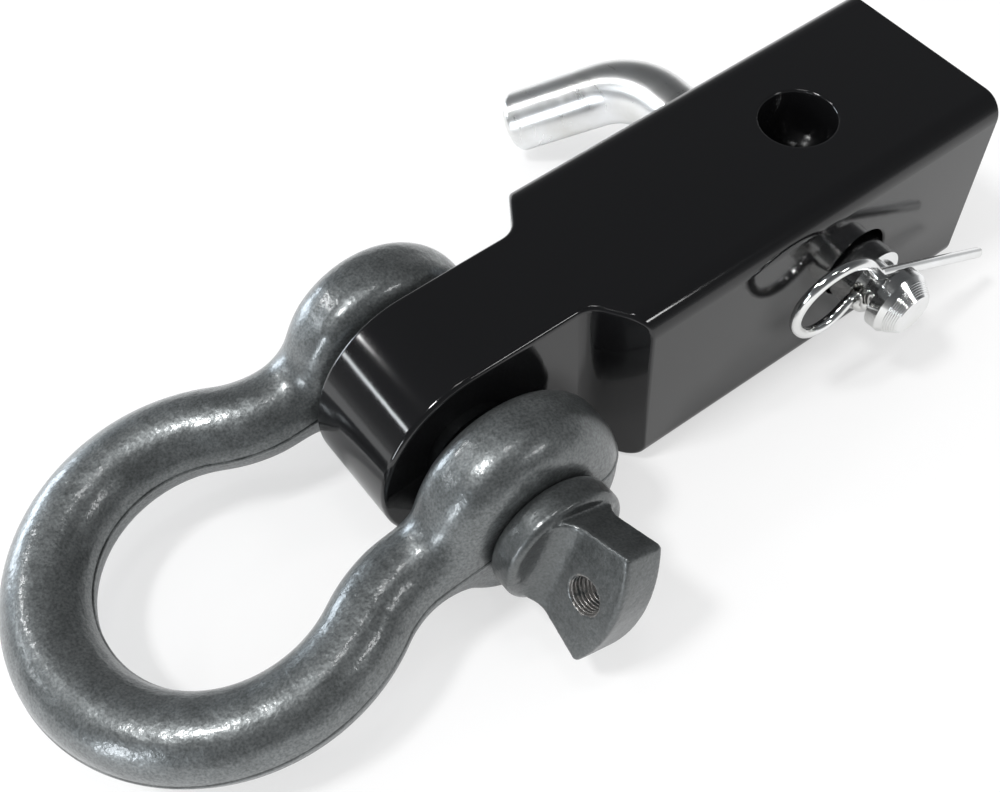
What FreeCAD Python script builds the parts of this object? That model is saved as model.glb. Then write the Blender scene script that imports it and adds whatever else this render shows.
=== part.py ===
import FreeCAD, Part
import Sketcher
import math
import os

# Hitch receiver shackle: a solid square shank with a narrowed tongue, a bow shackle
# on a screw pin, and a bent hitch pin held by a hairpin clip.
# Lengths are in millimetres. +X runs to the receiver end, +Z is up, and the origin is
# where the two hitch pin holes cross on the shank's centre line.

doc = FreeCAD.newDocument("hitch_receiver_shackle")
sheet = doc.addObject("Spreadsheet::Sheet", "sizes")

# Sizes that can be set by themselves
SIZES = [
    ("shank_side", 50.8),
    ("shank_corner", 5.6),
    ("receiver_reach", 40.1),
    ("shackle_reach", 100.5),
    ("shoulder_start", 63.0),
    ("shoulder_slant", 7.6),
    ("shoulder_fillet", 5.5),
    ("tongue_width", 27.0),
    ("tongue_edge", 1.2),
    ("end_edge", 1.0),
    ("hitch_hole", 17.9),
    ("hole_edge", 0.6),
    ("ear_offset", 27.0),
    ("ear_thick", 18.5),
    ("ear_radius", 24.5),
    ("ear_blend", 10.0),
    ("ear_inner_round", 5.8),
    ("ear_outer_round", 8.6),
    ("disc_margin", 0.03),
    ("neck_stock", 18.7),
    ("crown_stock", 20.3),
    ("neck_bend", 30.0),
    ("bow_radius", 37.0),
    ("neck_straight", 26.8),
    ("bow_tilt", 4.9),
    ("shackle_pin_size", 22.2),
    ("ear_fit", 0.08),
    ("tongue_bore", 25.4),
    ("tongue_bore_gap", 0.05),
    ("thread_stand_out", 2.4),
    ("thread_chamfer", 1.4),
    ("collar_radius", 15.2),
    ("collar_thick", 7.9),
    ("collar_back_round", 2.8),
    ("collar_front_round", 1.7),
    ("collar_gap", 0.05),
    ("tang_thick", 10.0),
    ("tang_root_half", 11.8),
    ("tang_end_half", 16.5),
    ("tang_length", 16.6),
    ("tang_end_radius", 36.0),
    ("tang_edge", 0.7),
    ("tang_cove", 5.5),
    ("tang_corner_round", 1.2),
    ("lug_margin", 0.1),
    ("lug_flare", 2.0),
    ("lug_length", 8.0),
    ("tang_hole", 8.6),
    ("tang_hole_place", 11.5),
    ("tang_turn", 66.5),
    ("hitch_pin_size", 15.88),
    ("hitch_pin_gap", 0.04),
    ("grip_length", 44.4),
    ("handle_bend", 24.0),
    ("handle_angle", 50.0),
    ("handle_leg", 25.9),
    ("handle_edge", 2.2),
    ("handle_droop", 34.9),
    ("groove_start", 31.5),
    ("groove_width", 5.7),
    ("groove_size", 9.6),
    ("tip_land", 3.0),
    ("tip_taper", 4.3),
    ("tip_end_size", 10.0),
    ("wire_size", 2.7),
    ("wire_gap", 0.05),
    ("wire_side_gap", 0.1),
    ("clip_kink", 11.0),
    ("clip_offset", 1.2),
    ("clip_kink_round", 4.0),
    ("clip_leg", 45.0),
    ("clip_strand", 5.0),
    ("clip_loop", 20.2),
    ("clip_loop_lead", 1.5),
    ("clip_heel", 9.5),
    ("clip_shoulder", 2.5),
    ("clip_wrap", 33.0),
    ("clip_tail", 2.6),
    ("clip_turn", 125.5),
]

# Places that follow from those sizes
FOLLOWS = [
    ("half", "=shank_side / 2"),
    ("blank_end", "=shackle_reach + half"),
    ("tongue_half", "=tongue_width / 2"),
    ("shoulder_drop", "=half - tongue_half"),
    ("slant_run", "=sqrt(shoulder_slant ^ 2 + shoulder_drop ^ 2)"),
    ("slant_tangent", "=shoulder_fillet * (slant_run - shoulder_slant) / shoulder_drop"),
    ("shoulder_end", "=shoulder_start + shoulder_slant"),
    ("fillet_in_x", "=-(shoulder_end - slant_tangent * shoulder_slant / slant_run)"),
    ("fillet_in_y", "=tongue_half + slant_tangent * shoulder_drop / slant_run"),
    ("fillet_out_x", "=-(shoulder_end + slant_tangent)"),
    ("cut_far", "=half + 5"),
    ("cut_slant_x", "=-(shoulder_start - 5 * shoulder_slant / shoulder_drop)"),
    ("cut_end_x", "=-(blank_end + 5)"),
    ("shackle_drop", "=(tongue_bore - shackle_pin_size) / 2 - tongue_bore_gap"),
    ("hitch_hole_r", "=hitch_hole / 2"),
    ("ear_bore", "=shackle_pin_size + 2 * ear_fit"),
    ("ear_half", "=ear_thick / 2"),
    ("rim_round", "=ear_half - 0.1"),
    ("disc_r", "=ear_radius - disc_margin"),
    ("disc_inner_y", "=ear_offset - ear_half + disc_margin"),
    ("disc_outer_y", "=ear_offset + ear_half - disc_margin"),
    ("disc_inner_r", "=disc_r - ear_inner_round"),
    ("disc_outer_r", "=disc_r - ear_outer_round"),
    ("disc_inner_round_y", "=disc_inner_y + ear_inner_round"),
    ("disc_outer_round_y", "=disc_outer_y - ear_outer_round"),
    ("stem_half", "=ear_half - 0.05"),
    ("blend_x", "=-sqrt((ear_radius + ear_blend) ^ 2 - (stem_half + ear_blend) ^ 2)"),
    ("blend_share", "=ear_radius / (ear_radius + ear_blend)"),
    ("rim_x", "=blend_x * blend_share"),
    ("rim_z", "=(stem_half + ear_blend) * blend_share"),
    ("stem_end_x", "=blend_x - 0.6"),
    ("neck_in_x", "=-(ear_radius - 6)"),
    ("bend_sum", "=bow_radius + neck_bend"),
    ("bend_side", "=ear_offset + neck_bend"),
    ("bend_span", "=sqrt(bend_sum ^ 2 - bend_side ^ 2)"),
    ("bow_centre", "=neck_straight + bend_span"),
    ("crown_reach", "=bow_centre + bow_radius"),
    ("join_x", "=-(bow_centre - bend_span * bow_radius / bend_sum)"),
    ("join_y", "=bend_side * bow_radius / bend_sum"),
    ("pin_r", "=shackle_pin_size / 2"),
    ("ear_outer", "=ear_offset + ear_half"),
    ("collar_back", "=-(ear_outer + collar_gap)"),
    ("collar_front", "=collar_back - collar_thick"),
    ("collar_back_r", "=collar_radius - collar_back_round"),
    ("collar_back_y", "=collar_back - collar_back_round"),
    ("collar_front_r", "=collar_radius - collar_front_round"),
    ("collar_front_y", "=collar_front + collar_front_round"),
    ("thread_end", "=ear_outer + thread_stand_out"),
    ("thread_end_r", "=pin_r - thread_chamfer"),
    ("thread_chamfer_y", "=thread_end - thread_chamfer"),
    ("tang_in_y", "=collar_front"),
    ("tang_corner_y", "=collar_front - tang_length"),
    ("tang_hole_y", "=collar_front - tang_hole_place"),
    ("tang_half", "=tang_thick / 2"),
    ("cove_top", "=tang_half + tang_cove"),
    ("lug_thick", "=2 * cove_top"),
    ("cove_end_y", "=collar_front - tang_cove"),
    ("flats_end_y", "=collar_front - 2 * tang_length"),
    ("flats_top", "=2 * cove_top"),
    ("lug_r", "=collar_front_r - lug_margin"),
    ("lug_end_r", "=lug_r + lug_flare"),
    ("lug_end_y", "=collar_front - lug_length"),
    ("lug_clear_r", "=2 * collar_radius"),
    ("hitch_r", "=hitch_pin_size / 2"),
    ("hitch_drop", "=hitch_hole_r - hitch_r - hitch_pin_gap"),
    ("groove_in_y", "=-groove_start"),
    ("groove_out_y", "=-(groove_start + groove_width)"),
    ("groove_r", "=groove_size / 2"),
    ("land_end_y", "=groove_out_y - tip_land"),
    ("tip_end_y", "=land_end_y - tip_taper"),
    ("tip_mid_y", "=land_end_y - tip_taper * 0.3"),
    ("tip_mid_r", "=hitch_r - 0.9"),
    ("tip_end_r", "=tip_end_size / 2"),
    ("turned_end_y", "=grip_length - 8"),
    ("bend_out_x", "=-handle_bend * (1 - cos(handle_angle * 1deg))"),
    ("bend_out_y", "=grip_length + handle_bend * sin(handle_angle * 1deg)"),
    ("leg_out_x", "=bend_out_x - handle_leg * sin(handle_angle * 1deg)"),
    ("leg_out_y", "=bend_out_y + handle_leg * cos(handle_angle * 1deg)"),
    ("wire_r", "=wire_size / 2"),
    ("seat", "=groove_r + wire_r + wire_gap"),
    ("plane_leg", "=groove_start + groove_width - wire_side_gap - wire_r"),
    ("plane_wrap", "=groove_start + wire_side_gap + wire_r"),
    ("kink_run", "=sqrt(clip_kink ^ 2 + clip_offset ^ 2)"),
    ("leg_turn", "=180 - atan(clip_offset / clip_kink) / 1deg + asin(seat / kink_run) / 1deg"),
    ("kink_tangent", "=clip_kink_round * tan((leg_turn - 180) / 2 * 1deg)"),
    ("strand_y", "=-clip_offset"),
    ("kink_out_x", "=clip_kink + kink_tangent"),
    ("kink_in_x", "=clip_kink + kink_tangent * cos(leg_turn * 1deg)"),
    ("kink_in_y", "=strand_y + kink_tangent * sin(leg_turn * 1deg)"),
    ("leg_end_x", "=clip_kink + clip_leg * cos(leg_turn * 1deg)"),
    ("leg_end_y", "=strand_y + clip_leg * sin(leg_turn * 1deg)"),
    ("strand_x", "=clip_kink + clip_strand"),
    ("loop_low_y", "=strand_y + clip_loop"),
    ("loop_lean", "=atan((plane_leg - plane_wrap) / clip_loop) / 1deg"),
    ("loop_width", "=sqrt(clip_loop ^ 2 + (plane_leg - plane_wrap) ^ 2)"),
    ("loop_r", "=loop_width / 2"),
    ("loop_top", "=clip_loop_lead + loop_r"),
    ("heel_x", "=strand_x - clip_heel"),
    ("heel_y", "=loop_low_y - clip_heel"),
    ("bump_x", "=heel_x - clip_shoulder"),
    ("bump_y", "=sqrt((seat + clip_shoulder) ^ 2 - bump_x ^ 2)"),
    ("hug_x", "=bump_x * seat / (seat + clip_shoulder)"),
    ("hug_y", "=bump_y * seat / (seat + clip_shoulder)"),
    ("wrap_end_x", "=-seat * cos(clip_wrap * 1deg)"),
    ("wrap_end_y", "=-seat * sin(clip_wrap * 1deg)"),
    ("tail_x", "=wrap_end_x + clip_tail * sin(clip_wrap * 1deg)"),
    ("tail_y", "=wrap_end_y - clip_tail * cos(clip_wrap * 1deg)"),
]

for row, (name, value) in enumerate(SIZES, 1):
    sheet.set(f"A{row}", name)
    sheet.set(f"B{row}", str(value))
    sheet.setAlias(f"B{row}", name)
for row, (name, formula) in enumerate(FOLLOWS, 1):
    sheet.set(f"D{row}", name)
    sheet.set(f"E{row}", formula)
    sheet.setAlias(f"E{row}", name)
doc.recompute()


def number(token):
    """Value of an alias, with an optional minus sign before it."""
    if token == "0":
        return 0.0
    sign = -1.0 if token.startswith("-") else 1.0
    value = getattr(sheet, token.lstrip("-"))
    return sign * float(getattr(value, "Value", value))


def bound(token):
    """Expression that reads an alias from the sheet."""
    if token.startswith("-"):
        return "-sizes." + token[1:]
    return "sizes." + token


def new_body(name):
    body = doc.addObject("PartDesign::Body", name)
    body.Label = name
    return body


def new_sketch(body, name, plane, lift="0", shift=("0", "0"), tilt=None):
    """Sketch on one of the body's own origin planes, lifted or tilted by named values."""
    sketch = body.newObject("Sketcher::SketchObject", name)
    origin = [f for f in body.Origin.OriginFeatures if f.Role == plane][0]
    sketch.AttachmentSupport = [(origin, "")]
    sketch.MapMode = "FlatFace"
    for axis, token in (("x", shift[0]), ("y", shift[1]), ("z", lift)):
        if token != "0":
            sketch.setExpression(f".AttachmentOffset.Base.{axis}", bound(token))
    if tilt:
        direction, token = tilt
        sketch.AttachmentOffset = FreeCAD.Placement(FreeCAD.Vector(), FreeCAD.Rotation(direction, number(token)))
        sketch.setExpression(".AttachmentOffset.Rotation.Angle", bound(token))
    return sketch


def pin_point(sketch, geo, pos, point):
    """Fix a point of the sketch by its two coordinates."""
    for kind, axis, token in (("DistanceX", -2, point[0]), ("DistanceY", -1, point[1])):
        if token == "0":
            sketch.addConstraint(Sketcher.Constraint("PointOnObject", geo, pos, axis))
            continue
        index = sketch.addConstraint(Sketcher.Constraint(kind, -1, 1, geo, pos, number(token)))
        sketch.setExpression(f"Constraints[{index}]", bound(token))


def draw(sketch, points, pieces):
    """Lines and arcs between named points. A piece is (i, j) or (i, j, radius, turn)."""
    at = [FreeCAD.Vector(number(x), number(y), 0) for x, y in points]
    placed = {}
    for piece in pieces:
        i, j = piece[0], piece[1]
        if len(piece) == 2:
            geo = sketch.addGeometry(Part.LineSegment(at[i], at[j]), False)
            ends = ((i, 1), (j, 2))
        else:
            radius, turn = piece[2], piece[3]
            first, last = (at[i], at[j]) if turn == "left" else (at[j], at[i])
            chord = last - first
            rise = math.sqrt(max(number(radius) ** 2 - (chord.Length / 2) ** 2, 0.0))
            side = FreeCAD.Vector(-chord.y, chord.x, 0).normalize()
            centre = first + chord * 0.5 + side * rise
            a0 = math.atan2(first.y - centre.y, first.x - centre.x)
            a1 = math.atan2(last.y - centre.y, last.x - centre.x)
            circle = Part.Circle(centre, FreeCAD.Vector(0, 0, 1), number(radius))
            geo = sketch.addGeometry(Part.ArcOfCircle(circle, a0, a1), False)
            ends = ((i, 1), (j, 2)) if turn == "left" else ((i, 2), (j, 1))
            index = sketch.addConstraint(Sketcher.Constraint("Radius", geo, number(radius)))
            sketch.setExpression(f"Constraints[{index}]", bound(radius))
        for key, pos in ends:
            if key in placed:
                sketch.addConstraint(Sketcher.Constraint("Coincident", geo, pos, *placed[key]))
            else:
                placed[key] = (geo, pos)
                pin_point(sketch, geo, pos, points[key])
    doc.recompute()


def draw_circle(sketch, centre, size):
    """Circle with its centre at two named values and a named diameter."""
    middle = FreeCAD.Vector(number(centre[0]), number(centre[1]), 0)
    circle = Part.Circle(middle, FreeCAD.Vector(0, 0, 1), number(size) / 2)
    geo = sketch.addGeometry(circle, False)
    if centre == ("0", "0"):
        sketch.addConstraint(Sketcher.Constraint("Coincident", geo, 3, -1, 1))
    else:
        pin_point(sketch, geo, 3, centre)
    index = sketch.addConstraint(Sketcher.Constraint("Diameter", geo, number(size)))
    sketch.setExpression(f"Constraints[{index}]", bound(size))
    doc.recompute()


def pad(body, name, sketch, length, both=False):
    feature = body.newObject("PartDesign::Pad", name)
    feature.Profile = sketch
    feature.Length = number(length)
    feature.setExpression("Length", bound(length))
    if both:
        feature.SideType = "Symmetric"
    sketch.Visibility = False
    doc.recompute()
    return feature


def cut_through(body, name, sketch):
    feature = body.newObject("PartDesign::Pocket", name)
    feature.Profile = sketch
    feature.SideType = "Symmetric"
    feature.Type = "ThroughAll"
    sketch.Visibility = False
    doc.recompute()
    return feature


def edges_where(feature, test):
    """Names of the feature's edges whose sample points all pass the test."""
    names = []
    for index, edge in enumerate(feature.Shape.Edges, 1):
        first, last = edge.ParameterRange
        samples = [edge.valueAt(first + (last - first) * k / 4.0) for k in range(5)]
        if all(test(p) for p in samples):
            names.append(f"Edge{index}")
    return names


def round_edges(body, name, feature, edges, radius, kind="PartDesign::Fillet"):
    dress = body.newObject(kind, name)
    dress.Base = (feature, edges)
    prop = "Radius" if kind == "PartDesign::Fillet" else "Size"
    setattr(dress, prop, number(radius))
    dress.setExpression(prop, bound(radius))
    feature.Visibility = False
    doc.recompute()
    return dress


def near(a, b, slack=0.02):
    return abs(a - b) < slack


# Shank: one solid bar, square at the receiver end and narrowed to a tongue

shank = new_body("shank")
section = new_sketch(shank, "shank_section", "YZ_Plane", lift="-blank_end")
sheet.set("G1", "=half - shank_corner")
sheet.setAlias("G1", "flat_half")
sheet.set("G2", "=receiver_reach + blank_end")
sheet.setAlias("G2", "blank_length")
doc.recompute()
draw(
    section,
    [("flat_half", "-half"), ("half", "-flat_half"), ("half", "flat_half"), ("flat_half", "half"),
     ("-flat_half", "half"), ("-half", "flat_half"), ("-half", "-flat_half"), ("-flat_half", "-half")],
    [(0, 1, "shank_corner", "left"), (1, 2), (2, 3, "shank_corner", "left"), (3, 4),
     (4, 5, "shank_corner", "left"), (5, 6), (6, 7, "shank_corner", "left"), (7, 0)],
)
bar = pad(shank, "shank_bar", section, "blank_length")

sides = new_sketch(shank, "tongue_sides", "XY_Plane")
far_points = [("cut_slant_x", "cut_far"), ("fillet_in_x", "fillet_in_y"), ("fillet_out_x", "tongue_half"),
              ("cut_end_x", "tongue_half"), ("cut_end_x", "cut_far")]
near_points = [(x, "-" + y) for x, y in far_points]
draw(
    sides,
    far_points + near_points,
    [(0, 1), (1, 2, "shoulder_fillet", "right"), (2, 3), (3, 4), (4, 0),
     (5, 6), (6, 7, "shoulder_fillet", "left"), (7, 8), (8, 9), (9, 5)],
)
tongue = cut_through(shank, "tongue_cut", sides)

nose = new_sketch(shank, "nose_outline", "XZ_Plane")
draw(
    nose,
    [("-shackle_reach", "half"), ("-blank_end", "0"), ("-shackle_reach", "-half"),
     ("-shackle_reach", "-cut_far"), ("cut_end_x", "-cut_far"), ("cut_end_x", "cut_far"), ("-shackle_reach", "cut_far")],
    [(0, 1, "half", "left"), (1, 2, "half", "left"), (2, 3), (3, 4), (4, 5), (5, 6), (6, 0)],
)
nosed = cut_through(shank, "nose_cut", nose)

holes_down = new_sketch(shank, "hole_down", "XY_Plane")
draw_circle(holes_down, ("0", "0"), "hitch_hole")
down = cut_through(shank, "hole_down_cut", holes_down)
holes_across = new_sketch(shank, "holes_across", "XZ_Plane")
draw_circle(holes_across, ("0", "0"), "hitch_hole")
across = cut_through(shank, "hole_across_cut", holes_across)
bore = new_sketch(shank, "shackle_bore_outline", "XZ_Plane")
draw_circle(bore, ("-shackle_reach", "0"), "tongue_bore")
bored = cut_through(shank, "shackle_bore_cut", bore)

half = number("half")
tongue_half = number("tongue_half")
reach = number("shackle_reach")
hole_r = number("hitch_hole_r")


def on_tongue_edge(p):
    inside = p.x < number("fillet_out_x") + 0.05 and near(abs(p.y), tongue_half)
    flat = p.x > -reach - 0.01 and near(abs(p.z), half)
    curved = p.x < -reach + 0.01 and near(math.hypot(p.x + reach, p.z), half)
    return inside and (flat or curved)


def on_hitch_hole(p):
    top = near(abs(p.z), half) and near(math.hypot(p.x, p.y), hole_r)
    side = near(abs(p.y), half) and near(math.hypot(p.x, p.z), hole_r)
    return top or side


edged = round_edges(shank, "tongue_edges", bored, edges_where(bored, on_tongue_edge), "tongue_edge")
holed = round_edges(shank, "hole_edges", edged, edges_where(edged, on_hitch_hole), "hole_edge")
end_loop = edges_where(holed, lambda p: near(p.x, number("receiver_reach")))
shank_done = round_edges(shank, "receiver_end_edges", holed, end_loop, "end_edge", "PartDesign::Chamfer")

# Bow: round-rimmed ears whose necks run into a swept bow that swells at the crown

bow = new_body("shackle_bow")
ear = new_sketch(bow, "ear_outline", "XZ_Plane", lift="-ear_offset")
draw(
    ear,
    [("stem_end_x", "stem_half"), ("blend_x", "stem_half"), ("rim_x", "rim_z"), ("ear_radius", "0"),
     ("rim_x", "-rim_z"), ("blend_x", "-stem_half"), ("stem_end_x", "-stem_half")],
    [(0, 1), (1, 2, "ear_blend", "left"), (2, 3, "ear_radius", "right"), (3, 4, "ear_radius", "right"),
     (4, 5, "ear_blend", "left"), (5, 6), (6, 0)],
)
ear_pad = pad(bow, "ear_blank", ear, "ear_thick", both=True)
faces_at = (number("ear_offset") - number("ear_half"), number("ear_offset") + number("ear_half"))
end_x = number("stem_end_x")


def on_ear_rim(p):
    return any(near(p.y, y) for y in faces_at)


def at_stem_end(p):
    return near(p.x, end_x)


stem_edges = edges_where(ear_pad, at_stem_end)
rim_edges = [e for e in edges_where(ear_pad, on_ear_rim) if e not in stem_edges]
ear_round = round_edges(bow, "ear_rim_round", ear_pad, rim_edges, "rim_round")

disc = new_sketch(bow, "ear_disc_profile", "XY_Plane")
draw(
    disc,
    [("0", "disc_inner_y"), ("disc_inner_r", "disc_inner_y"), ("disc_r", "disc_inner_round_y"),
     ("disc_r", "disc_outer_round_y"), ("disc_outer_r", "disc_outer_y"), ("0", "disc_outer_y")],
    [(0, 1), (1, 2, "ear_inner_round", "left"), (2, 3), (3, 4, "ear_outer_round", "left"), (4, 5), (5, 0)],
)
ear_disc = bow.newObject("PartDesign::Revolution", "ear_disc")
ear_disc.Profile = disc
ear_disc.ReferenceAxis = (disc, ["V_Axis"])
ear_disc.Angle = 360
disc.Visibility = False
doc.recompute()
path = new_sketch(bow, "bow_path", "XY_Plane")
draw(
    path,
    [("neck_in_x", "ear_offset"), ("-neck_straight", "ear_offset"), ("join_x", "join_y"), ("-crown_reach", "0")],
    [(0, 1), (1, 2, "neck_bend", "right"), (2, 3, "bow_radius", "left")],
)
start_ring = new_sketch(bow, "neck_section", "YZ_Plane", lift="neck_in_x")
draw_circle(start_ring, ("ear_offset", "0"), "neck_stock")
crown_ring = new_sketch(bow, "crown_section", "XZ_Plane")
draw_circle(crown_ring, ("-crown_reach", "0"), "crown_stock")
sweep = bow.newObject("PartDesign::AdditivePipe", "bow_sweep")
sweep.Profile = start_ring
sweep.Spine = path
sweep.Sections = [crown_ring]
sweep.Transformation = "Multisection"
doc.recompute()
whole = bow.newObject("PartDesign::Mirrored", "bow_mirrored")
whole.TransformMode = "Whole shape"
whole.MirrorPlane = ([f for f in bow.Origin.OriginFeatures if f.Role == "XZ_Plane"][0], [""])
bow.Tip = whole
doc.recompute()
ear_bores = new_sketch(bow, "ear_bore_outline", "XZ_Plane")
draw_circle(ear_bores, ("0", "0"), "ear_bore")
bow_done = cut_through(bow, "ear_bore_cut", ear_bores)
bow.Placement = FreeCAD.Placement(FreeCAD.Vector(), FreeCAD.Rotation(FreeCAD.Vector(0, -1, 0), number("bow_tilt")))
bow.setExpression(".Placement.Base.x", "-sizes.shackle_reach")
bow.setExpression(".Placement.Base.z", "-sizes.shackle_drop")
bow.setExpression(".Placement.Rotation.Angle", "sizes.bow_tilt")

# Shackle pin: turned shaft and rounded collar, with a flat flared tang

screw = new_body("shackle_pin")
turned = new_sketch(screw, "pin_profile", "XY_Plane")
draw(
    turned,
    [("0", "thread_end"), ("thread_end_r", "thread_end"), ("pin_r", "thread_chamfer_y"), ("pin_r", "collar_back"),
     ("collar_back_r", "collar_back"), ("collar_radius", "collar_back_y"), ("collar_radius", "collar_front_y"),
     ("collar_front_r", "collar_front"), ("0", "collar_front")],
    [(0, 1), (1, 2), (2, 3), (3, 4), (4, 5, "collar_back_round", "right"), (5, 6),
     (6, 7, "collar_front_round", "right"), (7, 8), (8, 0)],
)
shaft = screw.newObject("PartDesign::Revolution", "pin_turned")
shaft.Profile = turned
shaft.ReferenceAxis = (turned, ["V_Axis"])
shaft.Angle = 360
doc.recompute()
tang = new_sketch(screw, "tang_outline", "XY_Plane", tilt=(FreeCAD.Vector(0, -1, 0), "tang_turn"))
draw(
    tang,
    [("-tang_root_half", "tang_in_y"), ("tang_root_half", "tang_in_y"),
     ("tang_end_half", "tang_corner_y"), ("-tang_end_half", "tang_corner_y")],
    [(1, 0), (0, 3), (3, 2, "tang_end_radius", "left"), (2, 1)],
)
lug = pad(screw, "tang_blank", tang, "lug_thick", both=True)
turning = new_sketch(screw, "lug_turning_outline", "XY_Plane")
draw(
    turning,
    [("lug_r", "collar_front"), ("lug_end_r", "lug_end_y"), ("lug_clear_r", "lug_end_y"), ("lug_clear_r", "collar_front")],
    [(0, 1), (1, 2), (2, 3), (3, 0)],
)
turned_lug = screw.newObject("PartDesign::Groove", "lug_turned")
turned_lug.Profile = turning
turned_lug.ReferenceAxis = (turning, ["V_Axis"])
turned_lug.Angle = 360
turning.Visibility = False
doc.recompute()
flats = new_sketch(screw, "tang_flats_outline", "YZ_Plane", tilt=(FreeCAD.Vector(-1, 0, 0), "tang_turn"))
for side, turn in (("", "right"), ("-", "left")):
    draw(
        flats,
        [("collar_front", side + "cove_top"), ("cove_end_y", side + "tang_half"), ("flats_end_y", side + "tang_half"),
         ("flats_end_y", side + "flats_top"), ("collar_front", side + "flats_top")],
        [(0, 1, "tang_cove", turn), (1, 2), (2, 3), (3, 4), (4, 0)],
    )
tanged = cut_through(screw, "tang_flats", flats)
eye = new_sketch(screw, "tang_hole_outline", "XY_Plane", tilt=(FreeCAD.Vector(0, -1, 0), "tang_turn"))
draw_circle(eye, ("0", "tang_hole_y"), "tang_hole")
eyed = cut_through(screw, "tang_hole_cut", eye)
along = FreeCAD.Rotation(FreeCAD.Vector(0, -1, 0), number("tang_turn"))
face_normal = along.multVec(FreeCAD.Vector(0, 0, 1))
width_way = along.multVec(FreeCAD.Vector(1, 0, 0))


def at_tang_corner(p):
    across = abs(p.x * width_way.x + p.z * width_way.z)
    return near(across, number("tang_end_half")) and near(p.y, number("tang_corner_y"))


def at_tang_rim(p):
    flat = near(abs(p.x * face_normal.x + p.z * face_normal.z), number("tang_half"))
    return flat and p.y < number("cove_end_y") - 0.5 and not in_tang_hole(p)


def in_tang_hole(p):
    across = p.x * width_way.x + p.z * width_way.z
    return math.hypot(across, p.y - number("tang_hole_y")) < number("tang_hole")


cornered = round_edges(screw, "tang_corner_rounds", eyed, edges_where(eyed, at_tang_corner), "tang_corner_round")
screw_done = round_edges(screw, "tang_rim_rounds", cornered, edges_where(cornered, at_tang_rim), "tang_edge")
screw.setExpression(".Placement.Base.x", "-sizes.shackle_reach")
screw.setExpression(".Placement.Base.z", "-sizes.shackle_drop")

# Hitch pin: turned grip with a clip groove and a tapered tip, and a bent handle

pull = new_body("hitch_pin")
grip = new_sketch(pull, "grip_profile", "XY_Plane")
draw(
    grip,
    [("0", "tip_end_y"), ("tip_end_r", "tip_end_y"), ("tip_mid_r", "tip_mid_y"), ("hitch_r", "land_end_y"),
     ("hitch_r", "groove_out_y"), ("groove_r", "groove_out_y"), ("groove_r", "groove_in_y"),
     ("hitch_r", "groove_in_y"), ("hitch_r", "turned_end_y"), ("0", "turned_end_y")],
    [(0, 1), (1, 2), (2, 3), (3, 4), (4, 5), (5, 6), (6, 7), (7, 8), (8, 9), (9, 0)],
)
grip_solid = pull.newObject("PartDesign::Revolution", "grip_turned")
grip_solid.Profile = grip
grip_solid.ReferenceAxis = (grip, ["V_Axis"])
grip_solid.Angle = 360
doc.recompute()
droop = (FreeCAD.Vector(0, -1, 0), "handle_droop")
bend = new_sketch(pull, "handle_path", "XY_Plane", tilt=droop)
draw(
    bend,
    [("0", "turned_end_y"), ("0", "grip_length"), ("bend_out_x", "bend_out_y"), ("leg_out_x", "leg_out_y")],
    [(0, 1), (1, 2, "handle_bend", "left"), (2, 3)],
)
stock = new_sketch(pull, "handle_section", "XZ_Plane", lift="-turned_end_y")
draw_circle(stock, ("0", "0"), "hitch_pin_size")
handle = pull.newObject("PartDesign::AdditivePipe", "handle_sweep")
handle.Profile = stock
handle.Spine = bend
doc.recompute()
turn = FreeCAD.Rotation(FreeCAD.Vector(0, -1, 0), number("handle_droop"))
leg_end = turn.multVec(FreeCAD.Vector(number("leg_out_x"), number("leg_out_y"), 0))
leg_way = turn.multVec(FreeCAD.Vector(
    number("leg_out_x") - number("bend_out_x"), number("leg_out_y") - number("bend_out_y"), 0)).normalize()
end_ring = edges_where(handle, lambda p: near((p - leg_end).dot(leg_way), 0))
pull_done = round_edges(pull, "handle_end_round", handle, end_ring, "handle_edge")
pull.setExpression(".Placement.Base.z", "-sizes.hitch_drop")

# Hairpin clip: one wire in three level or leaning runs, tangent where they meet

clip = new_body("hairpin_clip")
leg_path = new_sketch(clip, "clip_leg_path", "XY_Plane", lift="plane_leg")
draw(
    leg_path,
    [("strand_x", "strand_y"), ("kink_out_x", "strand_y"), ("kink_in_x", "kink_in_y"), ("leg_end_x", "leg_end_y")],
    [(0, 1), (1, 2, "clip_kink_round", "left"), (2, 3)],
)
upper_ring = new_sketch(clip, "clip_upper_section", "YZ_Plane", lift="strand_x")
draw_circle(upper_ring, ("strand_y", "plane_leg"), "wire_size")
leg_run = clip.newObject("PartDesign::AdditivePipe", "clip_leg_run")
leg_run.Profile = upper_ring
leg_run.Spine = leg_path
doc.recompute()
loop_path = new_sketch(clip, "clip_loop_path", "XY_Plane", lift="plane_leg", shift=("strand_x", "strand_y"),
                       tilt=(FreeCAD.Vector(-1, 0, 0), "loop_lean"))
draw(
    loop_path,
    [("0", "0"), ("clip_loop_lead", "0"), ("loop_top", "loop_r"), ("clip_loop_lead", "loop_width"), ("0", "loop_width")],
    [(0, 1), (1, 2, "loop_r", "left"), (2, 3, "loop_r", "left"), (3, 4)],
)
loop_run = clip.newObject("PartDesign::AdditivePipe", "clip_loop_run")
loop_run.Profile = upper_ring
loop_run.Spine = loop_path
doc.recompute()
wrap_path = new_sketch(clip, "clip_wrap_path", "XY_Plane", lift="plane_wrap")
draw(
    wrap_path,
    [("strand_x", "loop_low_y"), ("heel_x", "heel_y"), ("heel_x", "bump_y"), ("hug_x", "hug_y"),
     ("0", "seat"), ("wrap_end_x", "wrap_end_y"), ("tail_x", "tail_y")],
    [(0, 1, "clip_heel", "left"), (1, 2), (2, 3, "clip_shoulder", "right"), (3, 4, "seat", "left"),
     (4, 5, "seat", "left"), (5, 6)],
)
lower_ring = new_sketch(clip, "clip_lower_section", "YZ_Plane", lift="strand_x")
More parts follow.
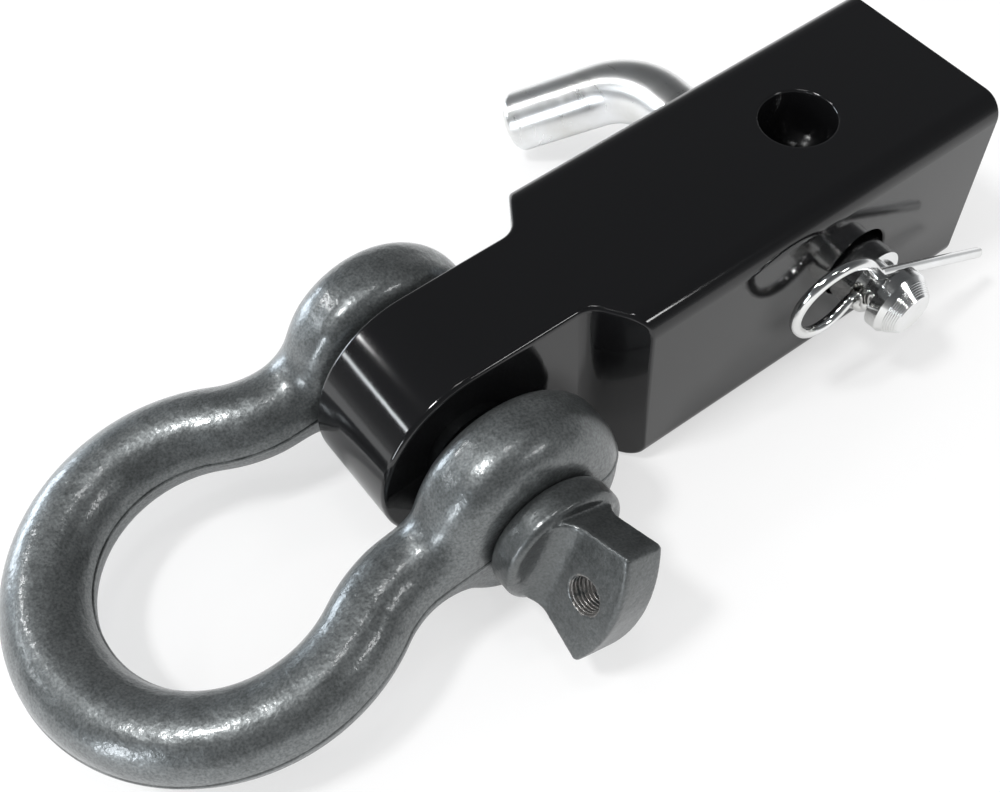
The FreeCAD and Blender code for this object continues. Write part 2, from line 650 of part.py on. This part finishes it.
draw_circle(lower_ring, ("loop_low_y", "plane_wrap"), "wire_size")
wrap_run = clip.newObject("PartDesign::AdditivePipe", "clip_wrap_run")
wrap_run.Profile = lower_ring
wrap_run.Spine = wrap_path
doc.recompute()
rows = FreeCAD.Rotation(FreeCAD.Vector(1, 0, 0), 90) * FreeCAD.Rotation(FreeCAD.Vector(0, 0, 1), number("clip_turn"))
clip.Placement = FreeCAD.Placement(FreeCAD.Vector(), rows)
clip.setExpression(".Placement.Base.z", "-sizes.hitch_drop")

doc.recompute()

# Checks on every object, then one file per node

for item in doc.Objects:
    bad = [s for s in item.State if s in ("Invalid", "Error")]
    assert not bad, f"{item.Name} is {bad}"
    if item.isDerivedFrom("PartDesign::Feature") or item.TypeId == "PartDesign::Body":
        assert not item.Shape.isNull() and item.Shape.isValid(), f"{item.Name} has no valid shape"

os.makedirs("parts", exist_ok=True)
for body in (shank, bow, screw, pull, clip):
    assert len(body.Shape.Solids) == 1, f"{body.Name} has {len(body.Shape.Solids)} solids"
    body.Shape.exportStep(f"parts/{body.Name}.step")
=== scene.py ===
import math

import bmesh
import bpy
from mathutils import Matrix, Vector


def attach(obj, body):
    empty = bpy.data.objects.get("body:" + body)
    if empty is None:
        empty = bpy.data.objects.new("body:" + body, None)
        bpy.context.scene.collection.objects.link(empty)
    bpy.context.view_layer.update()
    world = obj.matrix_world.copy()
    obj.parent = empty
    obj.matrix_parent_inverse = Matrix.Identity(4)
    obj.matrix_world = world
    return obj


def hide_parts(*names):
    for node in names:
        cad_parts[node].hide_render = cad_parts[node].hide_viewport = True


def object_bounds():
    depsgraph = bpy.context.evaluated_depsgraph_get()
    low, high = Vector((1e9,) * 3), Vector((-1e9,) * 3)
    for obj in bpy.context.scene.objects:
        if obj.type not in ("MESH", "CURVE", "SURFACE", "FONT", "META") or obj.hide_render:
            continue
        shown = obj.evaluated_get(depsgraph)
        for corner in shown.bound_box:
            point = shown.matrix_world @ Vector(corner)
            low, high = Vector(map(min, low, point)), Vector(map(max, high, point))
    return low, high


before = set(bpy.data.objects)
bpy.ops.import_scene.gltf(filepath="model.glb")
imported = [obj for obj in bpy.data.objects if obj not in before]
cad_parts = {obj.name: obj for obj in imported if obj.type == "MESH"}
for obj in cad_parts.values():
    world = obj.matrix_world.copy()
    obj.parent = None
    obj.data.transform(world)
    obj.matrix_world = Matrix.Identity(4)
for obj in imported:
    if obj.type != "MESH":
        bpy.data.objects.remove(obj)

cad_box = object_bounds()

# The view
# The part lies on a white studio table. The camera stands above its near left corner, as in the photograph.
# Its place, turn and lens were fitted to the bar's edges, its two pin holes and the rounded nose.

photo_wide, photo_high = 1000, 792
focal_px = 1196.96
centre_px = (511.6, 562.5)
side, lift, roll = math.radians(-31.82), math.radians(61.54), math.radians(5.34)
camera_place = Vector((-0.1744, -0.1409, 0.2185))

backward = Vector((math.sin(side) * math.cos(lift), -math.cos(side) * math.cos(lift), math.sin(lift)))
level = (-backward).cross(Vector((0, 0, 1))).normalized()
down = (-backward).cross(level)
image_right = math.cos(roll) * level + math.sin(roll) * down
image_down = -math.sin(roll) * level + math.cos(roll) * down

camera = bpy.data.objects.new("photo_camera", bpy.data.cameras.new("photo_camera"))
bpy.context.scene.collection.objects.link(camera)
camera.data.sensor_width = 36
camera.data.lens = focal_px / photo_wide * 36
camera.data.shift_x = (photo_wide / 2 - centre_px[0]) / photo_wide
camera.data.shift_y = (centre_px[1] - photo_high / 2) / photo_wide
camera.data.clip_start = 0.01
camera.data.clip_end = 20
turn = Matrix((image_right, -image_down, backward)).transposed()
camera.matrix_world = Matrix.Translation(camera_place) @ turn.to_4x4()
bpy.context.scene.camera = camera

# The table and the light
# A wide white sheet lies under the part. Seven soft lamps stand round it, in a room that is white at the
# horizon and dim overhead, so that the black bar stays black on top and picks up the table on its sides.

table_top = cad_box[0][2]
sheet_half_side = 3.0
white_seen_in_metal = 0.15

sheet_mesh = bpy.data.meshes.new("white_table")
shaper = bmesh.new()
bmesh.ops.create_grid(shaper, x_segments=1, y_segments=1, size=sheet_half_side)
shaper.to_mesh(sheet_mesh)
shaper.free()
white_table = bpy.data.objects.new("white_table", sheet_mesh)
bpy.context.scene.collection.objects.link(white_table)
white_table.location = (0, 0, table_top)


def ranged(nodes, links, value, taken, given):
    spread = nodes.new("ShaderNodeMapRange")
    spread.inputs["From Min"].default_value, spread.inputs["From Max"].default_value = taken
    spread.inputs["To Min"].default_value, spread.inputs["To Max"].default_value = given
    links.new(value, spread.inputs["Value"])
    return spread


paper = bpy.data.materials.new("white_paper")
paper.use_nodes = True
nodes, links = paper.node_tree.nodes, paper.node_tree.links
paper_skin = nodes["Principled BSDF"]
paper_skin.inputs["Base Color"].default_value = (0.86, 0.86, 0.86, 1)
paper_skin.inputs["Roughness"].default_value = 0.9
paper_skin.inputs["Specular IOR Level"].default_value = 0.2
lit_paper = nodes.new("ShaderNodeEmission")
rays = nodes.new("ShaderNodeLightPath")
mirrored = nodes.new("ShaderNodeMath")
mirrored.operation = "MAXIMUM"
links.new(rays.outputs["Is Glossy Ray"], mirrored.inputs[0])
links.new(rays.outputs["Is Transmission Ray"], mirrored.inputs[1])
in_metal = nodes.new("ShaderNodeMath")
in_metal.operation = "MULTIPLY"
in_metal.inputs[1].default_value = white_seen_in_metal
links.new(mirrored.outputs[0], in_metal.inputs[0])
sheet_place = nodes.new("ShaderNodeTexCoord")
how_far = nodes.new("ShaderNodeVectorMath")
how_far.operation = "LENGTH"
links.new(sheet_place.outputs["Object"], how_far.inputs[0])
far_white = ranged(nodes, links, how_far.outputs["Value"], (0.30, 1.10), (0.58, 1.0))
share = nodes.new("ShaderNodeMath")
share.operation = "MULTIPLY_ADD"
links.new(rays.outputs["Is Camera Ray"], share.inputs[0])
links.new(far_white.outputs[0], share.inputs[1])
links.new(in_metal.outputs[0], share.inputs[2])
blend_white = nodes.new("ShaderNodeMixShader")
links.new(share.outputs[0], blend_white.inputs[0])
links.new(paper_skin.outputs[0], blend_white.inputs[1])
links.new(lit_paper.outputs[0], blend_white.inputs[2])
links.new(blend_white.outputs[0], nodes["Material Output"].inputs[0])
sheet_mesh.materials.append(paper)

world = bpy.data.worlds.new("studio")
bpy.context.scene.world = world
world.use_nodes = True
nodes, links = world.node_tree.nodes, world.node_tree.links
nodes.clear()
output = nodes.new("ShaderNodeOutputWorld")
seen = nodes.new("ShaderNodeBackground")
seen.inputs["Color"].default_value = (1, 1, 1, 1)
seen.inputs["Strength"].default_value = 1.0
ceiling = nodes.new("ShaderNodeBackground")
ceiling.inputs["Strength"].default_value = 0.33
height = nodes.new("ShaderNodeTexCoord")
split_height = nodes.new("ShaderNodeSeparateXYZ")
links.new(height.outputs["Generated"], split_height.inputs[0])
fade = nodes.new("ShaderNodeValToRGB")
fade.color_ramp.elements[0].position = 0.0
fade.color_ramp.elements[0].color = (1.9, 1.92, 1.95, 1)
fade.color_ramp.elements[1].position = 0.75
fade.color_ramp.elements[1].color = (0.22, 0.23, 0.24, 1)
low_wall = fade.color_ramp.elements.new(0.13)
low_wall.color = (0.80, 0.81, 0.82, 1)
upper_wall = fade.color_ramp.elements.new(0.4)
upper_wall.color = (0.34, 0.35, 0.36, 1)
links.new(split_height.outputs["Z"], fade.inputs[0])
links.new(fade.outputs[0], ceiling.inputs["Color"])
fill = nodes.new("ShaderNodeBackground")
fill.inputs["Color"].default_value = (1, 1, 1, 1)
fill.inputs["Strength"].default_value = 0.68
rays = nodes.new("ShaderNodeLightPath")
mirrored = nodes.new("ShaderNodeMath")
mirrored.operation = "ADD"
mirrored.use_clamp = True
links.new(rays.outputs["Is Glossy Ray"], mirrored.inputs[0])
links.new(rays.outputs["Is Transmission Ray"], mirrored.inputs[1])
reflected = nodes.new("ShaderNodeMixShader")
links.new(mirrored.outputs[0], reflected.inputs[0])
links.new(fill.outputs[0], reflected.inputs[1])
links.new(ceiling.outputs[0], reflected.inputs[2])
choose = nodes.new("ShaderNodeMixShader")
links.new(rays.outputs["Is Camera Ray"], choose.inputs[0])
links.new(reflected.outputs[0], choose.inputs[1])
links.new(seen.outputs[0], choose.inputs[2])
links.new(choose.outputs[0], output.inputs[0])


part_middle = Vector((-0.08, 0.0, 0.0))


def lamp_towards(name, direction, distance, wide, tall, power, colour=(1, 1, 1)):
    lamp = bpy.data.lights.new(name, "AREA")
    lamp.shape = "RECTANGLE"
    lamp.size = wide
    lamp.size_y = tall
    lamp.energy = power
    lamp.color = colour
    box = bpy.data.objects.new(name, lamp)
    bpy.context.scene.collection.objects.link(box)
    box.location = part_middle + Vector(direction).normalized() * distance
    facing = (part_middle - box.location).normalized()
    box.rotation_euler = facing.to_track_quat("-Z", "Y").to_euler()


lamp_towards("main_diffuser", (-0.42, 0.08, 0.90), 1.2, 0.20, 0.16, 7.0)
lamp_towards("window", (-0.42, 0.90, 0.12), 1.3, 0.50, 0.36, 6.0, (0.82, 0.91, 1.0))
lamp_towards("nose_strip", (-0.72, 0.55, 0.42), 1.1, 0.40, 0.05, 0.9, (0.93, 0.97, 1.0))
lamp_towards("nose_spot", (-0.45, 0.64, 0.64), 1.1, 0.13, 0.09, 1.1)
lamp_towards("front_strip", (0.38, -0.66, 0.65), 1.2, 0.24, 0.12, 1.3)
lamp_towards("left_strip", (-0.97, -0.16, 0.22), 1.1, 0.14, 0.40, 3.0, (0.90, 0.95, 1.0))
lamp_towards("ceiling_tube", (0.06, -0.02, 1.0), 1.3, 0.07, 0.20, 1.2)

# Shank
# The shank is a solid square steel bar, sawn and milled to a narrower rounded tongue, then powder coated
# gloss black. It slides into a receiver tube and is held there by the hitch pin.

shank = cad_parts["shank"]


def noise(nodes, links, coordinates, scale, detail, roughness=0.5):
    grain = nodes.new("ShaderNodeTexNoise")
    grain.inputs["Scale"].default_value = scale
    grain.inputs["Detail"].default_value = detail
    grain.inputs["Roughness"].default_value = roughness
    links.new(coordinates, grain.inputs["Vector"])
    return grain


def bump(nodes, links, relief, strength, height):
    raised = nodes.new("ShaderNodeBump")
    raised.inputs["Strength"].default_value = strength
    raised.inputs["Distance"].default_value = height
    links.new(relief, raised.inputs["Height"])
    return raised


gloss_black = bpy.data.materials.new("gloss_black_powder_coat")
gloss_black.use_nodes = True
nodes, links = gloss_black.node_tree.nodes, gloss_black.node_tree.links
coat = nodes["Principled BSDF"]
coat.inputs["Base Color"].default_value = (0.006, 0.006, 0.0065, 1)
coat.inputs["Metallic"].default_value = 0.0
coat.inputs["IOR"].default_value = 1.54
place = nodes.new("ShaderNodeTexCoord")
peel = noise(nodes, links, place.outputs["Object"], scale=260, detail=2)
peel_bump = bump(nodes, links, peel.outputs["Fac"], strength=0.10, height=0.0001)
links.new(peel_bump.outputs[0], coat.inputs["Normal"])
haze = noise(nodes, links, place.outputs["Object"], scale=35, detail=5)
haze_range = ranged(nodes, links, haze.outputs["Fac"], (0, 1), (0.06, 0.13))
links.new(haze_range.outputs[0], coat.inputs["Roughness"])

shank.data.materials.clear()
shank.data.materials.append(gloss_black)

# Bow
# The bow is one steel drop forging, bent to its round crown and drawn in at the necks, with an eye in each
# ear. The dies leave a thin parting line all round it. It is dipped in dark metallic grey paint, which dries
# with a fine uneven skin.


def welded_copy(node_object, name):
    mesh = node_object.data.copy()
    mesh.materials.clear()
    shaper = bmesh.new()
    shaper.from_mesh(mesh)
    bmesh.ops.remove_doubles(shaper, verts=shaper.verts, dist=0.000002)
    shaper.to_mesh(mesh)
    shaper.free()
    copy = bpy.data.objects.new(name, mesh)
    bpy.context.scene.collection.objects.link(copy)
    return copy


def settled(piece):
    seen_now = bpy.context.evaluated_depsgraph_get()
    result = bpy.data.meshes.new_from_object(piece.evaluated_get(seen_now))
    piece.modifiers.clear()
    piece.data = result
    return piece


def softened(piece, grain, passes):
    remesh = piece.modifiers.new("remesh", "REMESH")
    remesh.mode = "VOXEL"
    remesh.voxel_size = grain
    remesh.adaptivity = 0
    remesh.use_smooth_shade = True
    relax = piece.modifiers.new("relax", "SMOOTH")
    relax.factor = 0.5
    relax.iterations = passes
    return settled(piece)


bow_tilt = math.radians(4.9)
ear_axis = Vector((-0.1005, 0, -0.00155))
parting_normal = Vector((-math.sin(bow_tilt), 0, math.cos(bow_tilt)))
parting_width = 0.0007
parting_height = 0.0003
parting_cuts = (-1, -0.4, 0, 0.4, 1)
parting_foot = 0.9
bore_and_rim = 0.0128
# Painted shade: where the dark line painted beside the parting ridge sits, in widths of the ridge from its
# middle.
shade_line_shift = 0.8
bow_grain = 0.00062
bow_passes = 4
neck_middle = -0.0235
neck_half_length = 0.0105
neck_gain = 2.2
neck_passes = 70

bow = softened(welded_copy(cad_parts["shackle_bow"], "forged_bow"), bow_grain, bow_passes)

# The hammer leaves no crease where the ears run into the necks, so that stretch is relaxed further.
neck_group = bow.vertex_groups.new(name="necks")
for v in bow.data.vertices:
    along = (v.co.x - ear_axis.x) * math.cos(bow_tilt) + (v.co.z - ear_axis.z) * math.sin(bow_tilt)
    near_neck = max(0.0, 1 - abs(along - neck_middle) / neck_half_length)
    if near_neck > 0:
        neck_group.add([v.index], min(1.0, neck_gain * near_neck), "REPLACE")
ease = bow.modifiers.new("ease", "SMOOTH")
ease.factor = 0.5
ease.iterations = neck_passes
ease.vertex_group = "necks"
settled(bow)

shaper = bmesh.new()
shaper.from_mesh(bow.data)
for shift in parting_cuts:
    cut_at = ear_axis + parting_normal * parting_width * shift
    everything = shaper.verts[:] + shaper.edges[:] + shaper.faces[:]
    bmesh.ops.bisect_plane(shaper, geom=everything, dist=0.00002, plane_co=cut_at, plane_no=parting_normal)
shaper.normal_update()
for v in shaper.verts:
    off = abs((v.co - ear_axis).dot(parting_normal)) / parting_width
    reach = math.hypot(v.co.x - ear_axis.x, v.co.z - ear_axis.z)
    if off < parting_foot and reach > bore_and_rim:
        v.co += v.normal * parting_height * (1 - (off / parting_foot) ** 2)
shaper.to_mesh(bow.data)
shaper.free()
bow.data.polygons.foreach_set("use_smooth", [True] * len(bow.data.polygons))


def metallic_grey_paint(name, depth, grain):
    painted = bpy.data.materials.new(name)
    painted.use_nodes = True
    nodes, links = painted.node_tree.nodes, painted.node_tree.links
    paint = nodes["Principled BSDF"]
    paint.inputs["Metallic"].default_value = 0.75
    paint.inputs["Specular IOR Level"].default_value = 0.5
    paint.inputs["Coat Weight"].default_value = 0.55
    paint.inputs["Coat Roughness"].default_value = 0.13
    place = nodes.new("ShaderNodeTexCoord")
    flake = noise(nodes, links, place.outputs["Object"], scale=1700, detail=2)
    clouds = noise(nodes, links, place.outputs["Object"], scale=150, detail=8, roughness=0.7)
    tone = nodes.new("ShaderNodeValToRGB")
    tone.color_ramp.elements[0].position = 0.25
    tone.color_ramp.elements[0].color = (0.105 * depth, 0.113 * depth, 0.114 * depth, 1)
    tone.color_ramp.elements[1].position = 0.75
    tone.color_ramp.elements[1].color = (0.178 * depth, 0.190 * depth, 0.192 * depth, 1)
    links.new(clouds.outputs["Fac"], tone.inputs[0])
    sparkle = ranged(nodes, links, flake.outputs["Fac"], (0.3, 0.7), (1 - grain, 1 + grain))
    glitter = nodes.new("ShaderNodeVectorMath")
    glitter.operation = "SCALE"
    links.new(tone.outputs[0], glitter.inputs[0])
    links.new(sparkle.outputs[0], glitter.inputs["Scale"])
    links.new(glitter.outputs[0], paint.inputs["Base Color"])
    gloss = ranged(nodes, links, clouds.outputs["Fac"], (0.25, 0.75), (0.32, 0.46))
    links.new(gloss.outputs[0], paint.inputs["Roughness"])
    lumps = noise(nodes, links, place.outputs["Object"], scale=560, detail=3)
    fine_bump = bump(nodes, links, lumps.outputs["Fac"], strength=0.30, height=0.0003)
    waves = noise(nodes, links, place.outputs["Object"], scale=160, detail=4)
    broad_bump = bump(nodes, links, waves.outputs["Fac"], strength=0.45, height=0.0008)
    links.new(fine_bump.outputs[0], broad_bump.inputs["Normal"])
    links.new(broad_bump.outputs[0], paint.inputs["Normal"])
    links.new(broad_bump.outputs[0], paint.inputs["Coat Normal"])
    return painted


bow_paint = metallic_grey_paint("dark_metallic_grey_paint", 1.0, 0.30)

# Painted shade: a thin broken dark line is painted into the colour along the upper edge of the parting line,
# standing in for the shadow in the crease beside the ridge.
nodes, links = bow_paint.node_tree.nodes, bow_paint.node_tree.links
place = nodes.new("ShaderNodeTexCoord")
from_ears = nodes.new("ShaderNodeVectorMath")
from_ears.operation = "SUBTRACT"
from_ears.inputs[1].default_value = ear_axis + parting_normal * parting_width * shade_line_shift
links.new(place.outputs["Object"], from_ears.inputs[0])
above_line = nodes.new("ShaderNodeVectorMath")
above_line.operation = "DOT_PRODUCT"
above_line.inputs[1].default_value = parting_normal
links.new(from_ears.outputs[0], above_line.inputs[0])
distance_off = nodes.new("ShaderNodeMath")
distance_off.operation = "ABSOLUTE"
links.new(above_line.outputs["Value"], distance_off.inputs[0])
breaks = noise(nodes, links, place.outputs["Object"], scale=120, detail=4)
shade_line_width = ranged(nodes, links, breaks.outputs["Fac"], (0.38, 0.62), (0.00005, 0.00042))
in_shade_line = nodes.new("ShaderNodeMapRange")
in_shade_line.inputs["From Min"].default_value = 0.0
in_shade_line.inputs["To Min"].default_value = 0.25
in_shade_line.inputs["To Max"].default_value = 1.0
links.new(distance_off.outputs[0], in_shade_line.inputs["Value"])
links.new(shade_line_width.outputs[0], in_shade_line.inputs["From Max"])
paint = nodes["Principled BSDF"]
unshaded_colour = paint.inputs["Base Color"].links[0].from_socket
shaded_colour = nodes.new("ShaderNodeVectorMath")
shaded_colour.operation = "SCALE"
links.new(unshaded_colour, shaded_colour.inputs[0])
links.new(in_shade_line.outputs[0], shaded_colour.inputs["Scale"])
links.new(shaded_colour.outputs[0], paint.inputs["Base Color"])

bow.data.materials.append(bow_paint)
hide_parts("shackle_bow")
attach(bow, "bow")

# Shackle pin
# The shackle pin is forged with a round collar and a flat tang, turned and threaded, then painted like the
# bow. It passes through the near ear and the tongue and screws into the far ear, by hand or with a bar
# through the tang.

pin_grain = 0.00035
pin_passes = 5
shackle_pin = softened(welded_copy(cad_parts["shackle_pin"], "painted_shackle_pin"), pin_grain, pin_passes)
shackle_pin.data.polygons.foreach_set("use_smooth", [True] * len(shackle_pin.data.polygons))
grey_paint = metallic_grey_paint("dark_metallic_grey_pin_paint", 0.72, 0.22)

# The die and the grinder left short slanting marks under the paint of the tang.
nodes, links = grey_paint.node_tree.nodes, grey_paint.node_tree.links
paint = nodes["Principled BSDF"]
place = nodes.new("ShaderNodeTexCoord")
slanted = nodes.new("ShaderNodeMapping")
slanted.inputs["Rotation"].default_value = (0.4, 0.9, 0.6)
slanted.inputs["Scale"].default_value = (90, 900, 260)
links.new(place.outputs["Object"], slanted.inputs["Vector"])
marks = noise(nodes, links, slanted.outputs[0], scale=1.0, detail=4)
mark_bump = bump(nodes, links, marks.outputs["Fac"], strength=0.35, height=0.0003)
links.new(paint.inputs["Normal"].links[0].from_socket, mark_bump.inputs["Normal"])
links.new(mark_bump.outputs[0], paint.inputs["Normal"])

# Wire and bars have worn the rim of the tang's hole and its thread down to bright steel.
tang_turn = math.radians(66.5)
tang_normal = Vector((-math.sin(tang_turn), 0, math.cos(tang_turn)))
tang_hole_place = Vector((-0.1005, -0.0557, -0.00155))
still_painted, worn_bare = 0.00590, 0.00565
ragged_edge = 0.0028
from_hole = nodes.new("ShaderNodeVectorMath")
from_hole.operation = "SUBTRACT"
from_hole.inputs[1].default_value = tang_hole_place
links.new(place.outputs["Object"], from_hole.inputs[0])
across = nodes.new("ShaderNodeVectorMath")
across.operation = "CROSS_PRODUCT"
across.inputs[1].default_value = tang_normal
links.new(from_hole.outputs[0], across.inputs[0])
off_axis = nodes.new("ShaderNodeVectorMath")
off_axis.operation = "LENGTH"
links.new(across.outputs[0], off_axis.inputs[0])
rubbed = noise(nodes, links, place.outputs["Object"], scale=420, detail=3)
ragged = nodes.new("ShaderNodeMath")
ragged.operation = "MULTIPLY_ADD"
ragged.inputs[1].default_value = ragged_edge
links.new(rubbed.outputs["Fac"], ragged.inputs[0])
links.new(off_axis.outputs["Value"], ragged.inputs[2])
bare = ranged(nodes, links, ragged.outputs[0], (still_painted, worn_bare), (0, 1))
bare_steel = nodes.new("ShaderNodeMix")
bare_steel.data_type = "RGBA"
bare_steel.inputs["B"].default_value = (0.26, 0.25, 0.24, 1)
links.new(bare.outputs[0], bare_steel.inputs["Factor"])
links.new(paint.inputs["Base Color"].links[0].from_socket, bare_steel.inputs["A"])
links.new(bare_steel.outputs["Result"], paint.inputs["Base Color"])
shackle_pin.data.materials.append(grey_paint)
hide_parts("shackle_pin")
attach(shackle_pin, "screw_pin")

# Hitch pin
# The hitch pin is a round steel bar, bent at one end to make a handle, turned to a blunt point and grooved
# at the other. It is plated with bright zinc, which keeps the fine rings that the lathe left on the point.

hitch_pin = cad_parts["hitch_pin"]

bright_zinc = bpy.data.materials.new("bright_zinc_plate")
bright_zinc.use_nodes = True
nodes, links = bright_zinc.node_tree.nodes, bright_zinc.node_tree.links
plate = nodes["Principled BSDF"]
plate.inputs["Metallic"].default_value = 1.0
place = nodes.new("ShaderNodeTexCoord")
cloud = noise(nodes, links, place.outputs["Object"], scale=70, detail=4)
plate_tone = nodes.new("ShaderNodeValToRGB")
plate_tone.color_ramp.elements[0].position = 0.3
plate_tone.color_ramp.elements[0].color = (0.72, 0.72, 0.70, 1)
plate_tone.color_ramp.elements[1].position = 0.7
plate_tone.color_ramp.elements[1].color = (0.88, 0.89, 0.90, 1)
links.new(cloud.outputs["Fac"], plate_tone.inputs[0])
links.new(plate_tone.outputs[0], plate.inputs["Base Color"])
stretch = nodes.new("ShaderNodeMapping")
stretch.inputs["Scale"].default_value = (60, 900, 60)
links.new(place.outputs["Object"], stretch.inputs["Vector"])
handle_stretch = nodes.new("ShaderNodeMapping")
handle_stretch.inputs["Scale"].default_value = (700, 70, 70)
links.new(place.outputs["Object"], handle_stretch.inputs["Vector"])
along_pin = nodes.new("ShaderNodeSeparateXYZ")
links.new(place.outputs["Object"], along_pin.inputs[0])
on_handle = ranged(nodes, links, along_pin.outputs["Y"], (0.034, 0.056), (0, 1))
rings = noise(nodes, links, stretch.outputs[0], scale=1.0, detail=3)
handle_rings = noise(nodes, links, handle_stretch.outputs[0], scale=1.0, detail=3)
turning = nodes.new("ShaderNodeMix")
turning.data_type = "FLOAT"
links.new(on_handle.outputs[0], turning.inputs["Factor"])
links.new(rings.outputs["Fac"], turning.inputs["A"])
links.new(handle_rings.outputs["Fac"], turning.inputs["B"])
# The turned end is bright and smooth, and the bent handle keeps the rougher skin of the rolled bar.
handle_share = ranged(nodes, links, along_pin.outputs["Y"], (-0.030, 0.030), (0.0, 0.17))
streaks = ranged(nodes, links, turning.outputs["Result"], (0, 1), (0.05, 0.20))
plate_rough = nodes.new("ShaderNodeMath")
plate_rough.operation = "ADD"
links.new(handle_share.outputs[0], plate_rough.inputs[0])
links.new(streaks.outputs[0], plate_rough.inputs[1])
links.new(plate_rough.outputs[0], plate.inputs["Roughness"])
plate_bump = bump(nodes, links, turning.outputs["Result"], strength=0.05, height=0.0002)
links.new(plate_bump.outputs[0], plate.inputs["Normal"])

hitch_pin.data.materials.clear()
hitch_pin.data.materials.append(bright_zinc)

# The lathe's rings are thin round ridges, one feed apart, on the cone between the land and the blunt end.
point_axis = Vector((0, 0, -0.00097))
cone_wide_end = (-0.04149, 0.00704)
cone_narrow_end = (-0.0445, 0.0050)
narrow_end_rise = 0.0002
narrow_end_gap = 0.0003


def ridge_tree(name, finish):
    tree = bpy.data.node_groups.new(name, "GeometryNodeTree")
    for label, kind, start in (("Turns", "NodeSocketInt", 8),
                               ("First radius", "NodeSocketFloat", 0.007),
                               ("Last radius", "NodeSocketFloat", 0.005),
                               ("Length", "NodeSocketFloat", 0.003),
                               ("Ridge", "NodeSocketFloat", 0.0001),
                               ("Steps a turn", "NodeSocketInt", 72)):
        socket = tree.interface.new_socket(label, in_out="INPUT", socket_type=kind)
        socket.default_value = start
    tree.interface.new_socket("Geometry", in_out="OUTPUT", socket_type="NodeSocketGeometry")
    nodes, links = tree.nodes, tree.links
    sizes = nodes.new("NodeGroupInput")
    result = nodes.new("NodeGroupOutput")
    spiral = nodes.new("GeometryNodeCurveSpiral")
    links.new(sizes.outputs["Steps a turn"], spiral.inputs["Resolution"])
    links.new(sizes.outputs["Turns"], spiral.inputs["Rotations"])
    links.new(sizes.outputs["First radius"], spiral.inputs["Start Radius"])
    links.new(sizes.outputs["Last radius"], spiral.inputs["End Radius"])
    links.new(sizes.outputs["Length"], spiral.inputs["Height"])
    section = nodes.new("GeometryNodeCurvePrimitiveCircle")
    section.inputs["Resolution"].default_value = 6
    links.new(sizes.outputs["Ridge"], section.inputs["Radius"])
    sweep = nodes.new("GeometryNodeCurveToMesh")
    sweep.inputs["Fill Caps"].default_value = True
    links.new(spiral.outputs["Curve"], sweep.inputs["Curve"])
    links.new(section.outputs["Curve"], sweep.inputs["Profile Curve"])
    whole = nodes.new("GeometryNodeRealizeInstances")
    links.new(sweep.outputs["Mesh"], whole.inputs["Geometry"])
    coat_it = nodes.new("GeometryNodeSetMaterial")
    coat_it.inputs["Material"].default_value = finish
    links.new(whole.outputs["Geometry"], coat_it.inputs["Geometry"])
    links.new(coat_it.outputs["Geometry"], result.inputs["Geometry"])
    return tree


def spiral_ridge(name, tree, values, place):
    holder = bpy.data.objects.new(name, bpy.data.meshes.new(name))
    bpy.context.scene.collection.objects.link(holder)
    maker = holder.modifiers.new("maker", "NODES")
    maker.node_group = tree
    for item in tree.interface.items_tree:
        if item.in_out == "INPUT" and item.name in values:
            maker[item.identifier] = values[item.name]
    settled(holder)
    holder.data.transform(place)
    holder.data.polygons.foreach_set("use_smooth", [True] * len(holder.data.polygons))
    return holder


def axis_place(origin, direction):
    return Matrix.Translation(origin) @ direction.to_track_quat("Z", "X").to_matrix().to_4x4()


zinc_ridges = ridge_tree("lathe_ring_ridges", bright_zinc)
point_rings = spiral_ridge(
    "point_rings", zinc_ridges,
    {"Turns": 6, "First radius": cone_wide_end[1], "Last radius": cone_narrow_end[1] + narrow_end_rise,
     "Length": cone_wide_end[0] - cone_narrow_end[0] - narrow_end_gap, "Ridge": 0.00019, "Steps a turn": 90},
    axis_place(point_axis + Vector((0, cone_wide_end[0], 0)), Vector((0, -1, 0))))
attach(point_rings, "pull_pin")

# Thread in the tang's hole
# The hole is tapped for a lanyard, and its crests are worn bright where wire has rubbed them.
# The solid's bore is smooth, so a fine ridge is wound round inside it, as the tap leaves the crests.

thread_radius = 0.0043
thread_length = 0.0090
paint_ridges = ridge_tree("screw_thread_ridges", grey_paint)
tang_thread = spiral_ridge(
    "tang_hole_thread", paint_ridges,
    {"Turns": 9, "First radius": thread_radius, "Last radius": thread_radius, "Length": thread_length,
     "Ridge": 0.00026, "Steps a turn": 48},
    axis_place(tang_hole_place - tang_normal * thread_length / 2, tang_normal))
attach(tang_thread, "screw_pin")

# Hairpin clip
# The clip is one length of hard spring wire, bent round a former to a round eye, a straight leg and a
# waisted leg. The waisted leg snaps into the hitch pin's groove and keeps the pin from drawing out.

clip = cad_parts["hairpin_clip"]
clip.data.materials.clear()
clip.data.materials.append(bright_zinc)

# Last steps
# The render keeps colours about as they are written.

bpy.context.scene.view_settings.view_transform = "Standard"
